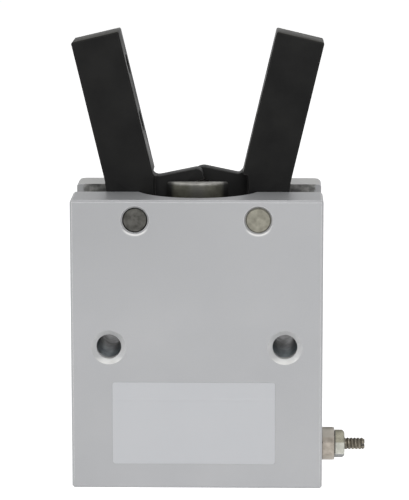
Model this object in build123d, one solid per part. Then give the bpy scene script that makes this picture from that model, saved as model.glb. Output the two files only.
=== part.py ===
from build123d import *
from math import acos, atan2, cos, hypot, radians, sin, sqrt, tan
import os

# Pneumatic angular gripper, in millimetres.
# The origin is the centre of the pilot bore in the bottom face. +Z is up towards the fingers.
# The front face, with the two pivot pins, looks along -Y. +X is the side with the throttle.

# Body block
body_w = 50.0
front_depth = 16.0
rear_depth = 14.0
edge_chamfer = 0.4
rear_edge_r = 1.8
mouth_chamfer = 0.35

# Fits
press_gap = 0.01
running_gap = 0.03
slide_gap = 0.05
slot_gap = 0.15

# Cylinder
bore_r = 10.0
pilot_r = 10.5
pilot_depth = 3.0
clip_t = 1.0
clip_side_gap = 0.05
clip_bite = 1.0
clip_band = 1.9
clip_lug_r = 1.5
clip_eye_r = 0.6
clip_half_gap_angle = 32.0
end_cap_t = 5.3
end_cap_dish_r = 6.0
end_cap_dish_depth = 1.2
ring_cord_r = 0.75
ring_groove_w = 1.9

# Piston
piston_t = 10.7
seal_groove_w = 3.4
seal_groove_depth = 2.3
end_gap = 0.25

# Piston rod and its guide through the wall above the piston
rod_r = 5.0
guide_len = 14.5
rod_seal_section = 2.4
rod_seal_t = 3.2
rod_seal_lip = 1.5

# Drive fork on the rod
head_r = 8.0
head_above_pin = 3.2
head_below_pin = 12.5
head_slot_below_pin = 8.2
head_clearance = 1.4
head_chamfer = 0.25
rod_stud_r = 3.0
rod_stud_len = 3.9
drive_pin_r = 1.5
drive_pin_recess = 0.3
drive_pin_blind = 1.0

# Fingers, a pair of equal pieces whose half-thick arms lap beside each other
pivot_x = 12.17
pivot_to_top = 4.0
rest_angle = 13.3
open_angle = 15.0
closed_angle = -5.0
finger_w = 10.0
finger_t = 10.0
finger_above_pivot = 36.0
finger_chamfer = 0.25
kink_above_pivot = 7.07
hub_r = 5.75
hub_floor_gap = 1.2
arm_reach = 14.6
arm_root_half_h = 5.8
arm_tip_half_h = 5.4
arm_corner_r = 3.0
arm_set_back = 1.0
arm_gap = 0.4
arm_cutter_r = 17.0
arm_cut_half_h = 6.6
arm_shoulder_from_pivot = 4.3
arm_lap_from_pivot = 2.95
arm_step_chamfer = 0.4
inner_fillet = 1.1
roller_r = 3.0
roller_slot_gap = 0.1
slot_end_from_pivot = 8.6
roller_side_gap = 0.05
pivot_pin_r = 2.5
pivot_pin_blind = 2.5
left_pin_recess = 0.35
right_pin_recess = 0.05
pin_end_chamfer = 0.25
jaw_hole_r = 2.1
jaw_hole_below_tip = 7.2
jaw_hole_spacing = 11.6

# Round recess around the fork, at the top of the body
recess_r = 13.0

# Mounting holes
side_screw_x = 17.5
side_screw_z = 28.8
side_screw_r = 2.5
side_screw_mouth = 0.95
side_screw_mouth_depth = 2.6
bottom_screw_x = 18.0
bottom_screw_r = 2.1
bottom_screw_depth = 9.0
port_r = 2.1
port_depth = 8.0
port_y = 5.0
port_off_chamber = 2.5
port_drill_r = 0.8

# Throttle
throttle_y = -8.0
throttle_z = 7.3
gland_af = 6.5
gland_t = 2.6
gland_corner_angle = 17.0
gland_stem_r = 2.5
gland_stem_len = 7.0
gland_chamfer = 0.45
gland_back_chamfer = 0.25
gland_cavity_r = 1.75
gland_cavity_len = 3.8
nut_af = 5.0
nut_t = 2.0
nut_gap = 0.08
nut_chamfer = 0.5
needle_r = 1.2
needle_past_nut = 4.1
needle_tip_chamfer = 0.35
needle_collar_from_body = 5.1
needle_collar_len = 1.6
needle_groove_w = 0.95
needle_ring_r = 0.42
needle_seat_len = 2.5
needle_seat_r = 1.8
needle_point_len = 2.3
needle_point_r = 0.2
orifice_r = 0.9
orifice_len = 2.0
driver_slot_w = 0.5
driver_slot_depth = 0.8

# Places that follow from the sizes above, from the bottom face up
slot_half = finger_t / 2 + slot_gap
clip_groove_w = clip_t + 2 * clip_side_gap
end_cap_z = pilot_depth + clip_groove_w
end_cap_top = end_cap_z + end_cap_t
pin_drop_closed = pivot_x * tan(radians(closed_angle))
pin_rise_open = pivot_x * tan(radians(open_angle))
pin_rise_rest = pivot_x * tan(radians(rest_angle))
stroke = pin_rise_open - pin_drop_closed
chamber_top = end_cap_top + 2 * end_gap + piston_t + stroke
recess_floor = chamber_top + guide_len
pivot_z = recess_floor + head_clearance + head_below_pin - pin_drop_closed
body_h = pivot_z + pivot_to_top
slot_floor = pivot_z - hub_r - hub_floor_gap
pin_z = pivot_z + pin_rise_rest
head_bottom = pin_z - head_below_pin
head_top = pin_z + head_above_pin
piston_top = chamber_top - end_gap - (pin_rise_open - pin_rise_rest)
piston_bottom = piston_top - piston_t
rod_seal_low = chamber_top + rod_seal_lip
rod_seal_high = rod_seal_low + rod_seal_t
side_x = body_w / 2


def turned(points, axis=Axis.Z):
    outline = make_face(Polyline(*points, close=True))
    return revolve(outline, axis, 360)


def tube(outer_r, inner_r, low, high):
    points = [(inner_r, 0, low), (outer_r, 0, low), (outer_r, 0, high), (inner_r, 0, high)]
    return turned(points)


def o_ring(ring_r, cord_r):
    section = Pos(ring_r, 0) * RegularPolygon(cord_r, 6, major_radius=False, rotation=30)
    return revolve(Plane.XZ * section, Axis.Z, 360)


def rod_along_z(radius, low, high):
    return Pos(0, 0, (low + high) / 2) * Cylinder(radius, high - low)


def rod_along_y(radius, low, high):
    return Pos(0, (low + high) / 2, 0) * Rot(90, 0, 0) * Cylinder(radius, high - low)


def rod_along_x(radius, low, high):
    return Pos((low + high) / 2, 0, 0) * Rot(0, 90, 0) * Cylinder(radius, high - low)


def mouth_in_front(radius, size, depth):
    return Pos(0, depth / 2 - front_depth, 0) * Rot(90, 0, 0) * Cone(radius, radius + size, depth)


def drill_between(radius, start, end):
    path = Vector(*end) - Vector(*start)
    plane = Plane(origin=start, z_dir=path)
    return plane * Pos(0, 0, path.length / 2) * Cylinder(radius, path.length)


def clip_ring(groove_r, low):
    outer = groove_r - press_gap
    inner = outer - clip_band
    ring = tube(outer, inner, low, low + clip_t)
    spread = (groove_r + 1.0) * tan(radians(clip_half_gap_angle))
    wedge = make_face(Polyline((0, 0), (spread, -groove_r - 1.0), (-spread, -groove_r - 1.0), close=True))
    ring -= Pos(0, 0, low) * extrude(wedge, clip_t)
    lug_ring_r = outer - clip_lug_r
    for side in (-1, 1):
        angle = radians(-90 + side * clip_half_gap_angle)
        place = Pos(lug_ring_r * cos(angle), lug_ring_r * sin(angle), low + clip_t / 2)
        ring += place * Cylinder(clip_lug_r, clip_t)
        ring -= place * Cylinder(clip_eye_r, clip_t)
    return ring


def body():
    block = Box(body_w, front_depth + rear_depth, body_h)
    rear_edges = block.edges().filter_by(Axis.Z).group_by(Axis.Y)[-1]
    block = fillet(rear_edges, rear_edge_r)
    front_edges = block.edges().filter_by(Axis.Z).group_by(Axis.Y)[0]
    level_edges = block.edges().group_by(Axis.Z)[0] + block.edges().group_by(Axis.Z)[-1]
    block = chamfer(front_edges + level_edges, edge_chamfer)
    block = Pos(0, (rear_depth - front_depth) / 2, body_h / 2) * block
    slot_h = body_h - slot_floor
    slot = Box(body_w, 2 * slot_half, slot_h)
    block -= Pos(0, 0, slot_floor + slot_h / 2) * slot
    block -= rod_along_z(pilot_r, 0, end_cap_top)
    block -= rod_along_z(pilot_r + clip_bite, pilot_depth, end_cap_z)
    block -= rod_along_z(bore_r, end_cap_top, chamber_top)
    block -= rod_along_z(rod_r + running_gap, chamber_top, recess_floor)
    block -= rod_along_z(rod_r + rod_seal_section, rod_seal_low, rod_seal_high)
    block -= rod_along_z(recess_r, recess_floor, body_h)
    block -= pivot_holes()
    block -= side_screw_holes()
    block -= bottom_screw_holes()
    block -= air_ports()
    block -= throttle_hole()
    return block


def pivot_holes():
    holes = []
    for side in (-1, 1):
        hole = rod_along_y(pivot_pin_r + press_gap, -front_depth, rear_depth - pivot_pin_blind)
        hole += mouth_in_front(pivot_pin_r + press_gap, mouth_chamfer, mouth_chamfer)
        holes.append(Pos(side * pivot_x, 0, pivot_z) * hole)
    return holes


def side_screw_holes():
    holes = []
    for side in (-1, 1):
        hole = rod_along_y(side_screw_r, -front_depth, rear_depth)
        hole += mouth_in_front(side_screw_r, side_screw_mouth, side_screw_mouth_depth)
        holes.append(Pos(side * side_screw_x, 0, side_screw_z) * hole)
    return holes


def bottom_screw_holes():
    hole = rod_along_z(bottom_screw_r, 0, bottom_screw_depth)
    return [Pos(side * bottom_screw_x, 0, 0) * hole for side in (-1, 1)]


def air_ports():
    chamber_mouths = [(end_cap_top + port_drill_r, 1), (chamber_top - port_drill_r, -1)]
    holes = []
    for chamber_z, way in chamber_mouths:
        port_z = chamber_z + way * (port_off_chamber - port_drill_r)
        port = rod_along_x(port_r, side_x - port_depth, side_x)
        holes.append(Pos(0, port_y, port_z) * port)
        inside = bore_r - 1.2
        start = (side_x - port_depth + 0.5, port_y, port_z)
        end = (inside, port_y * 0.8, chamber_z)
        holes.append(drill_between(port_drill_r, start, end))
    return holes


def throttle_hole():
    stem_end = side_x - gland_stem_len
    seat_end = stem_end - needle_seat_len
    hole = rod_along_x(gland_stem_r + press_gap, stem_end, side_x)
    hole += rod_along_x(needle_seat_r, seat_end, stem_end)
    hole += rod_along_x(orifice_r, seat_end - orifice_len, seat_end)
    hole = Pos(0, throttle_y, throttle_z) * hole
    start = (seat_end - orifice_len / 2, throttle_y, throttle_z)
    inside = sqrt(bore_r ** 2 - throttle_y ** 2)
    hole += drill_between(port_drill_r, start, (inside, throttle_y + 1.0, end_cap_top + port_drill_r))
    return hole


def finger_outline():
    half = finger_w / 2
    reach = hypot(half, kink_above_pivot)
    kink_angle = atan2(kink_above_pivot, -half)
    touch_angle = kink_angle + acos(hub_r / reach)
    touch = (hub_r * cos(touch_angle), hub_r * sin(touch_angle))
    blade = Pos(0, finger_above_pivot / 2) * Rectangle(finger_w, finger_above_pivot)
    flank = make_face(Polyline((0, 0), (-half, kink_above_pivot), touch, close=True))
    arm_points = [(0, -arm_root_half_h), (arm_reach, -arm_tip_half_h)]
    arm_points += [(arm_reach, arm_tip_half_h), (0, arm_root_half_h)]
    arm = make_face(Polyline(*arm_points, close=True))
    arm = fillet(arm.vertices().group_by(Axis.X)[-1], arm_corner_r)
    outline = Sketch() + Circle(hub_r) + blade + flank + arm
    corner = outline.vertices().sort_by_distance((half, arm_root_half_h))[0]
    outline = fillet(corner, inner_fillet)
    slot_half_h = roller_r + roller_slot_gap
    slot_centre = slot_end_from_pivot + slot_half_h
    outline -= Pos(slot_centre, 0) * Circle(slot_half_h)
    outline -= Pos(slot_centre + arm_reach / 2, 0) * Rectangle(arm_reach, 2 * slot_half_h)
    outline -= Circle(pivot_pin_r + running_gap)
    return outline


def finger_blank():
    solid = extrude(Plane.XZ * finger_outline(), finger_t / 2, both=True)
    long_edges = solid.edges().filter_by(Axis.Z).filter_by(lambda edge: edge.length > finger_above_pivot / 2)
    top_edges = solid.edges().group_by(Axis.Z)[-1]
    solid = chamfer(long_edges + top_edges, finger_chamfer)
    for step in range(2):
        height = finger_above_pivot - jaw_hole_below_tip - step * jaw_hole_spacing
        solid -= Pos(0, 0, height) * rod_along_x(jaw_hole_r, -finger_w, finger_w)
    return solid


def arm_cutter(from_pivot, inner_y, way):
    face_y = way * finger_t / 2
    middle = (inner_y + face_y) / 2
    cut = Pos(0, middle, 0) * Rot(90, 0, 0) * Cylinder(arm_cutter_r, abs(face_y - inner_y))
    cone = Cone(arm_cutter_r, arm_cutter_r + arm_step_chamfer, arm_step_chamfer)
    cut += Pos(0, face_y - way * arm_step_chamfer / 2, 0) * Rot(-90 * way, 0, 0) * cone
    cut &= Box(2 * arm_cutter_r + 1.0, finger_t, 2 * arm_cut_half_h)
    return Pos(from_pivot + arm_cutter_r, 0, 0) * cut


def finger():
    solid = finger_blank()
    solid -= arm_cutter(arm_shoulder_from_pivot, arm_set_back - finger_t / 2, -1)
    solid -= arm_cutter(arm_lap_from_pivot, -arm_gap / 2, 1)
    return Pos(-pivot_x, 0, pivot_z) * Rot(0, -rest_angle, 0) * solid


def left_finger():
    return finger()


def right_finger():
    return Rot(0, 0, 180) * finger()


def pivot_pin(side, recess):
    low = recess - front_depth
    high = rear_depth - pivot_pin_blind - slide_gap
    pin = rod_along_y(pivot_pin_r, low, high)
    pin = chamfer(pin.edges().group_by(Axis.Y)[0], pin_end_chamfer)
    return Pos(side * pivot_x, 0, pivot_z) * pin


def rod_fork():
    head = rod_along_z(head_r, head_bottom, head_top)
    head = chamfer(head.edges().group_by(Axis.Z)[-1], head_chamfer)
    floor = pin_z - head_slot_below_pin
    slot = Box(4 * head_r, 2 * slot_half, head_top - floor)
    head -= Pos(0, 0, (head_top + floor) / 2) * slot
    pin_hole = rod_along_y(drive_pin_r + press_gap, drive_pin_blind - head_r, head_r)
    head -= Pos(0, 0, pin_z) * pin_hole
    head -= rod_along_z(rod_stud_r + press_gap, head_bottom, floor)
    return head


def drive_pin():
    low = drive_pin_blind - head_r + slide_gap
    return Pos(0, 0, pin_z) * rod_along_y(drive_pin_r, low, head_r - drive_pin_recess)


def roller(low, high):
    ring = rod_along_y(roller_r, low + roller_side_gap, high - roller_side_gap)
    ring -= rod_along_y(drive_pin_r + running_gap, low, high)
    return Pos(0, 0, pin_z) * ring


def front_roller():
    return roller(-slot_half, -arm_gap / 2)


def centre_roller():
    return roller(-arm_gap / 2, arm_gap / 2)


def rear_roller():
    return roller(arm_gap / 2, slot_half)


def piston_rod():
    rod = rod_along_z(rod_r, piston_top, head_bottom)
    rod += rod_along_z(rod_stud_r, head_bottom, head_bottom + rod_stud_len)
    rod += rod_along_z(rod_stud_r, piston_bottom, piston_top)
    return rod


def piston():
    outer = bore_r - slide_gap
    middle = (piston_top + piston_bottom) / 2
    disc = tube(outer, rod_stud_r + press_gap, piston_bottom, piston_top)
    groove_root = outer - seal_groove_depth
    disc -= tube(outer + 1.0, groove_root, middle - seal_groove_w / 2, middle + seal_groove_w / 2)
    return disc


def piston_seal():
    middle = (piston_top + piston_bottom) / 2
    outer = bore_r - running_gap
    inner = bore_r - slide_gap - seal_groove_depth + press_gap
    half = seal_groove_w / 2 - slide_gap
    return tube(outer, inner, middle - half, middle + half)


def rod_seal():
    low = rod_seal_low + press_gap
    high = rod_seal_high - press_gap
    return tube(rod_r + rod_seal_section - press_gap, rod_r + running_gap, low, high)


def end_cap():
    outer = pilot_r - slide_gap
    cap = rod_along_z(outer, end_cap_z, end_cap_top)
    middle = (end_cap_z + end_cap_top) / 2
    groove_root = outer - 2 * ring_cord_r
    cap -= tube(outer + 1.0, groove_root, middle - ring_groove_w / 2, middle + ring_groove_w / 2)
    cap -= rod_along_z(end_cap_dish_r, end_cap_z, end_cap_z + end_cap_dish_depth)
    return cap


def end_cap_o_ring():
    ring_r = pilot_r - slide_gap - ring_cord_r
    middle = (end_cap_z + end_cap_top) / 2
    return Pos(0, 0, middle) * o_ring(ring_r, ring_cord_r - press_gap)


def end_cap_clip():
    return clip_ring(pilot_r + clip_bite, pilot_depth + clip_side_gap)


def hexagon_along_x(across_flats, low, high, corner_angle, corner_chamfer, back_chamfer, inner_r):
    corner_r = across_flats / sqrt(3)
    prism = extrude(Plane.YZ * Rot(0, 0, corner_angle) * RegularPolygon(corner_r, 6), high - low)
    rounded = rod_along_x(corner_r, 0, high - low)
    rounded = chamfer(rounded.edges().group_by(Axis.X)[-1], corner_chamfer)
    if back_chamfer:
        rounded = chamfer(rounded.edges().group_by(Axis.X)[0], back_chamfer)
    prism = (prism & rounded) - rod_along_x(inner_r, 0, high - low)
    return Pos(low, throttle_y, throttle_z) * prism


def throttle_gland():
    head_high = side_x + gland_t
    corner_angle = 180 - gland_corner_angle
    hole_r = needle_r + running_gap
    gland = hexagon_along_x(gland_af, side_x, head_high, corner_angle, gland_chamfer, gland_back_chamfer, hole_r)
    stem_low = side_x - gland_stem_len
    stem = rod_along_x(gland_stem_r, stem_low, side_x)
    stem -= rod_along_x(hole_r, stem_low, side_x)
    stem -= rod_along_x(gland_cavity_r, stem_low, stem_low + gland_cavity_len)
    return gland + Pos(0, throttle_y, throttle_z) * stem


def throttle_lock_nut():
    low = side_x + gland_t + nut_gap
    return hexagon_along_x(nut_af, low, low + nut_t, 90, nut_chamfer, 0, needle_r + running_gap)


def throttle_needle():
    outer_end = side_x + gland_t + nut_gap + nut_t + needle_past_nut
    collar_high = side_x - needle_collar_from_body
    collar_low = collar_high - needle_collar_len
    collar_r = gland_cavity_r - slide_gap
    seat_end = side_x - gland_stem_len - needle_seat_len
    stud = rod_along_x(needle_r, seat_end, outer_end)
    stud = chamfer(stud.edges().group_by(Axis.X)[-1], needle_tip_chamfer)
    stud += rod_along_x(collar_r, collar_low, collar_high)
    groove_middle = (collar_low + collar_high) / 2
    groove_root = gland_cavity_r - running_gap - 2 * needle_ring_r
    groove = rod_along_x(collar_r + 1.0, groove_middle - needle_groove_w / 2, groove_middle + needle_groove_w / 2)
    groove -= rod_along_x(groove_root, groove_middle - needle_groove_w, groove_middle + needle_groove_w)
    stud -= groove
    base_r = orifice_r - slide_gap
    point = Cone(needle_point_r, base_r, needle_point_len)
    stud += Pos(seat_end - needle_point_len / 2, 0, 0) * Rot(0, 90, 0) * point
    slot = Box(driver_slot_depth, 2 * needle_r, driver_slot_w)
    stud -= Pos(outer_end - driver_slot_depth / 2, 0, 0) * slot
    return Pos(0, throttle_y, throttle_z) * stud


def throttle_o_ring():
    middle = side_x - needle_collar_from_body - needle_collar_len / 2
    ring_r = gland_cavity_r - running_gap - needle_ring_r
    ring = o_ring(ring_r, needle_ring_r - press_gap)
    return Pos(middle, throttle_y, throttle_z) * Rot(0, 90, 0) * ring


pieces = {
    "body": body(),
    "left_finger": left_finger(),
    "right_finger": right_finger(),
    "left_pivot_pin": pivot_pin(-1, left_pin_recess),
    "right_pivot_pin": pivot_pin(1, right_pin_recess),
    "rod_fork": rod_fork(),
    "drive_pin": drive_pin(),
    "front_roller": front_roller(),
    "centre_roller": centre_roller(),
    "rear_roller": rear_roller(),
    "piston_rod": piston_rod(),
    "piston": piston(),
    "piston_seal": piston_seal(),
    "rod_seal": rod_seal(),
    "end_cap": end_cap(),
    "end_cap_o_ring": end_cap_o_ring(),
    "end_cap_clip": end_cap_clip(),
    "throttle_gland": throttle_gland(),
    "throttle_needle": throttle_needle(),
    "throttle_lock_nut": throttle_lock_nut(),
    "throttle_o_ring": throttle_o_ring(),
}

os.makedirs("parts", exist_ok=True)
for name, piece in pieces.items():
    export_step(piece, f"parts/{name}.step")
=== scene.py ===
# %% [markdown]
# A pneumatic angular gripper stands on a white table. Two black steel fingers swing on pins in an
# anodised aluminium block, and a small throttle screw sticks out near the foot of the right side.
# The CAD model already holds every moving piece, so this lesson loads it as a fixed frame and adds
# what a photograph shows beyond it: the finishes, softer edges, the bare label and the threads.

# %% Load the frame
import math

import bpy
from mathutils import Matrix, Vector


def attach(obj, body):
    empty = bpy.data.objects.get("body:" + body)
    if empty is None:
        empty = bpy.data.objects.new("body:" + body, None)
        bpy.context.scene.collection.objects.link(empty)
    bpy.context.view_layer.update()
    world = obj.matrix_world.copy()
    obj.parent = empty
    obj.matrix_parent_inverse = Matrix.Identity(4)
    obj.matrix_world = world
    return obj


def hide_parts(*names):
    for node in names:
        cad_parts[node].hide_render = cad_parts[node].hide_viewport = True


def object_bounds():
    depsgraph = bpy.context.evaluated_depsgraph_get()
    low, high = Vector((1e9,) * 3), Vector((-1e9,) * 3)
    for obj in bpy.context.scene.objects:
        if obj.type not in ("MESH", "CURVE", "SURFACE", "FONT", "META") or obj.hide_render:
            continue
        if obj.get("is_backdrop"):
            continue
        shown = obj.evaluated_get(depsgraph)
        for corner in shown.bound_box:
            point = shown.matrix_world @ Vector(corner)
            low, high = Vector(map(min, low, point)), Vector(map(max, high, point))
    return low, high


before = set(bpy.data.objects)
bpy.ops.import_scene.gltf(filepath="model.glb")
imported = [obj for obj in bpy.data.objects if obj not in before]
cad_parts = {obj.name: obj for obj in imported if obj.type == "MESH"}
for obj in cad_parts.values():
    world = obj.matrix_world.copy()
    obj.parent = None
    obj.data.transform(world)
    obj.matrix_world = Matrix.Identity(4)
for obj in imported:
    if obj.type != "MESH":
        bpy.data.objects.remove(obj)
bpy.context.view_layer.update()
MM = 0.001

# %% [markdown]
# Everything is measured from the block. Its front face looks along -Y and the pilot bore in its
# foot is the origin, so a few lengths place all the added pieces. They repeat the sizes of the
# real block in metres.

# %% Lengths on the block
BLOCK_W = 50.0 * MM
BLOCK_H = 58.39 * MM
FRONT_Y = -16.0 * MM
SLOT_HALF = 5.15 * MM
SLOT_FLOOR = 47.44 * MM
RECESS_R = 13.0 * MM
RECESS_FLOOR = 39.0 * MM
PIVOT = Vector((12.17 * MM, 0.0, 54.39 * MM))
PIN_R = 2.5 * MM
REST_ANGLE = math.radians(13.3)
THROTTLE = Vector((25.0 * MM, -8.0 * MM, 7.3 * MM))
HOLE_X = 17.5 * MM
HOLE_Z = 28.8 * MM
HOLE_R = 2.5 * MM
print("block in mm:", round(BLOCK_W / MM, 2), "wide,", round(BLOCK_H / MM, 2), "high")

# %% [markdown]
# The camera comes first, because every later look is judged through it. A product photograph like
# this is taken with a long lens from well back. The lens below is given as a focal length in
# picture dots, and Blender wants millimetres on a 36 mm sensor along the picture's long side.

# %% Camera
PICTURE_W = 409
PICTURE_H = 500
SENSOR = 36.0
FOCAL_DOTS = 2579.43
CAMERA_PLACE = Vector((12.6027, -516.0928, 139.0876)) * MM
CAMERA_YAW = math.radians(-1.2634)
CAMERA_PITCH = math.radians(10.2633)
CAMERA_ROLL = math.radians(-0.073)

forward = Vector((
    math.sin(CAMERA_YAW) * math.cos(CAMERA_PITCH),
    math.cos(CAMERA_YAW) * math.cos(CAMERA_PITCH),
    -math.sin(CAMERA_PITCH),
))
level_right = Vector((math.cos(CAMERA_YAW), -math.sin(CAMERA_YAW), 0.0))
level_up = level_right.cross(forward)
right = level_right * math.cos(CAMERA_ROLL) + level_up * math.sin(CAMERA_ROLL)
up = level_up * math.cos(CAMERA_ROLL) - level_right * math.sin(CAMERA_ROLL)
aim = Matrix((right, up, -forward)).transposed()

camera_data = bpy.data.cameras.new("camera")
camera_data.sensor_width = SENSOR
camera_data.lens = SENSOR * FOCAL_DOTS / max(PICTURE_W, PICTURE_H)
camera_data.clip_start = 0.01
camera_data.clip_end = 20.0
camera = bpy.data.objects.new("camera", camera_data)
camera.matrix_world = Matrix.Translation(CAMERA_PLACE) @ aim.to_4x4()
bpy.context.scene.collection.objects.link(camera)
bpy.context.scene.camera = camera
print("lens in mm:", round(camera_data.lens, 2))

# %% [markdown]
# A shader is a small net of nodes. These helpers keep each finish readable. The first ones add a
# node, join two sockets, and do sums on numbers and vectors.

# %% Node helpers
def add_node(tree, kind, **values):
    node = tree.nodes.new(kind)
    for name, value in values.items():
        setattr(node, name, value)
    return node


def join(tree, source, target):
    tree.links.new(source, target)


def math_node(tree, operation, first, second=0.0):
    node = add_node(tree, "ShaderNodeMath", operation=operation)
    for place, value in enumerate((first, second)):
        if isinstance(value, (int, float)):
            node.inputs[place].default_value = value
        else:
            join(tree, value, node.inputs[place])
    return node.outputs[0]


def product(tree, *values):
    result = values[0]
    for value in values[1:]:
        result = math_node(tree, "MULTIPLY", result, value)
    return result


def vector_away(tree, vector, centre):
    node = add_node(tree, "ShaderNodeVectorMath", operation="SUBTRACT")
    join(tree, vector, node.inputs[0])
    node.inputs[1].default_value = centre
    return node.outputs["Vector"]


def vector_length(tree, vector):
    node = add_node(tree, "ShaderNodeVectorMath", operation="LENGTH")
    join(tree, vector, node.inputs[0])
    return node.outputs["Value"]


def combine(tree, **parts):
    node = add_node(tree, "ShaderNodeCombineXYZ")
    for axis, value in parts.items():
        join(tree, value, node.inputs[axis])
    return node.outputs[0]


def split(tree, vector):
    node = add_node(tree, "ShaderNodeSeparateXYZ")
    join(tree, vector, node.inputs[0])
    return node.outputs


# %% [markdown]
# The next ones shape a value into what a finish needs. A stretch maps one range onto another and
# stops at its ends, blotches are noise stretched to soft-edged spots, and a blend mixes colours.

# %% Helpers for masks and colours
def stretch(tree, value, low, high, new_low=0.0, new_high=1.0):
    node = add_node(tree, "ShaderNodeMapRange")
    join(tree, value, node.inputs["Value"])
    node.inputs["From Min"].default_value = low
    node.inputs["From Max"].default_value = high
    node.inputs["To Min"].default_value = new_low
    node.inputs["To Max"].default_value = new_high
    return node.outputs["Result"]


def blend_colours(tree, mask, first, second):
    node = add_node(tree, "ShaderNodeMix", data_type="RGBA")
    join(tree, mask, node.inputs["Factor"])
    for name, value in (("A", first), ("B", second)):
        socket = [entry for entry in node.inputs if entry.name == name and entry.type == "RGBA"][0]
        if isinstance(value, tuple):
            socket.default_value = (*value, 1.0)
        else:
            join(tree, value, socket)
    return [entry for entry in node.outputs if entry.type == "RGBA"][0]


def noise(tree, place, scale, detail, roughness=0.5):
    node = add_node(tree, "ShaderNodeTexNoise")
    join(tree, place, node.inputs["Vector"])
    node.inputs["Scale"].default_value = scale
    node.inputs["Detail"].default_value = detail
    node.inputs["Roughness"].default_value = roughness
    return node.outputs["Fac"]


def blotches(tree, place, scale, detail, roughness=0.5, spread=0.16):
    return stretch(tree, noise(tree, place, scale, detail, roughness), 0.5 - spread, 0.5 + spread)


# %% [markdown]
# Three effects return on several finishes: a fine grain, edges rubbed bright, and the rings that a
# lathe leaves. Each is a node group, built once. The grain is noise stretched to a soft bump. Worn
# edges compare the surface with a slightly rounded copy of itself: they differ only at an edge.
# Lathe rings are a wave over the distance from an axis, with a little noise to break it up.

# %% Shared effects
VECTOR_IN = ("Vector", "NodeSocketVector", None)
MASK_OUT = ("Mask", "NodeSocketFloat")
NORMAL_OUT = ("Normal", "NodeSocketVector")


def new_group(name, inputs, outputs):
    group = bpy.data.node_groups.new(name, "ShaderNodeTree")
    for label, kind, default in inputs:
        socket = group.interface.new_socket(label, in_out="INPUT", socket_type=kind)
        if default is not None:
            socket.default_value = default
    for label, kind in outputs:
        group.interface.new_socket(label, in_out="OUTPUT", socket_type=kind)
    return group, add_node(group, "NodeGroupInput").outputs, add_node(group, "NodeGroupOutput").inputs


def raise_bump(group, height, given, made):
    bump = add_node(group, "ShaderNodeBump")
    join(group, height, bump.inputs["Height"])
    join(group, given["Height"], bump.inputs["Distance"])
    join(group, height, made["Mask"])
    join(group, bump.outputs["Normal"], made["Normal"])


def make_grain():
    group, given, made = new_group(
        "surface_grain",
        [VECTOR_IN, ("Scale", "NodeSocketFloat", 2000.0), ("Height", "NodeSocketFloat", 0.01 * MM)],
        [MASK_OUT, NORMAL_OUT])
    fine = add_node(group, "ShaderNodeTexNoise")
    fine.inputs["Detail"].default_value = 3.0
    join(group, given["Vector"], fine.inputs["Vector"])
    join(group, given["Scale"], fine.inputs["Scale"])
    raise_bump(group, fine.outputs["Fac"], given, made)
    return group


def make_worn_edges():
    group, given, made = new_group(
        "worn_edges",
        [VECTOR_IN, ("Radius", "NodeSocketFloat", 0.2 * MM), ("Patchiness", "NodeSocketFloat", 0.5)],
        [MASK_OUT])
    rounded = add_node(group, "ShaderNodeBevel", samples=6)
    join(group, given["Radius"], rounded.inputs["Radius"])
    flat = add_node(group, "ShaderNodeNewGeometry")
    compare = add_node(group, "ShaderNodeVectorMath", operation="DOT_PRODUCT")
    join(group, rounded.outputs["Normal"], compare.inputs[0])
    join(group, flat.outputs["Normal"], compare.inputs[1])
    edge = stretch(group, compare.outputs["Value"], 0.995, 0.86)
    gaps = blotches(group, given["Vector"], 700.0, 4.0, spread=0.15)
    share = math_node(group, "SUBTRACT", 1.0, product(group, gaps, given["Patchiness"]))
    join(group, product(group, edge, share), made["Mask"])
    return group


def make_lathe_rings():
    group, given, made = new_group(
        "lathe_rings",
        [VECTOR_IN, ("Pitch", "NodeSocketFloat", 0.2 * MM), ("Height", "NodeSocketFloat", 0.004 * MM)],
        [MASK_OUT, NORMAL_OUT])
    turns = math_node(group, "DIVIDE", vector_length(group, given["Vector"]), given["Pitch"])
    uneven = product(group, noise(group, given["Vector"], 900.0, 2.0), 1.5)
    angle = product(group, math_node(group, "ADD", turns, uneven), 2 * math.pi)
    ring = stretch(group, math_node(group, "SINE", angle), -1.0, 1.0)
    raise_bump(group, ring, given, made)
    return group


grain_group = make_grain()
worn_group = make_worn_edges()
rings_group = make_lathe_rings()
print("shared effects:", [group.name for group in bpy.data.node_groups])

# %% [markdown]
# Every finish starts the same way, as a Principled shader whose colours depend on the place on the
# object. It ends the same way too: grain or lathe rings give the normal, and the roughness varies
# a little with the spots on the surface or, on a plain coat, with the grain itself.

# %% Start and end of a finish
def new_finish(name, metallic, specular):
    material = bpy.data.materials.new(name)
    material.use_nodes = True
    tree = material.node_tree
    shader = tree.nodes["Principled BSDF"]
    shader.inputs["Metallic"].default_value = metallic
    shader.inputs["Specular IOR Level"].default_value = specular
    place = add_node(tree, "ShaderNodeTexCoord").outputs["Object"]
    return material, tree, shader.inputs, place


def use_group(tree, group, place, **values):
    node = add_node(tree, "ShaderNodeGroup", node_tree=group)
    join(tree, place, node.inputs["Vector"])
    for name, value in values.items():
        node.inputs[name].default_value = value
    return node.outputs


def end_finish(tree, shader, relief, mask, roughness):
    join(tree, stretch(tree, mask, 0.0, 1.0, *roughness), shader["Roughness"])
    join(tree, relief["Normal"], shader["Normal"])


def add_grain(tree, shader, place, scale, height, roughness, mask=None):
    grain = use_group(tree, grain_group, place, Scale=scale, Height=height)
    if mask is None:
        mask = stretch(tree, grain["Mask"], 0.3, 0.7)
    end_finish(tree, shader, grain, mask, roughness)
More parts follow.
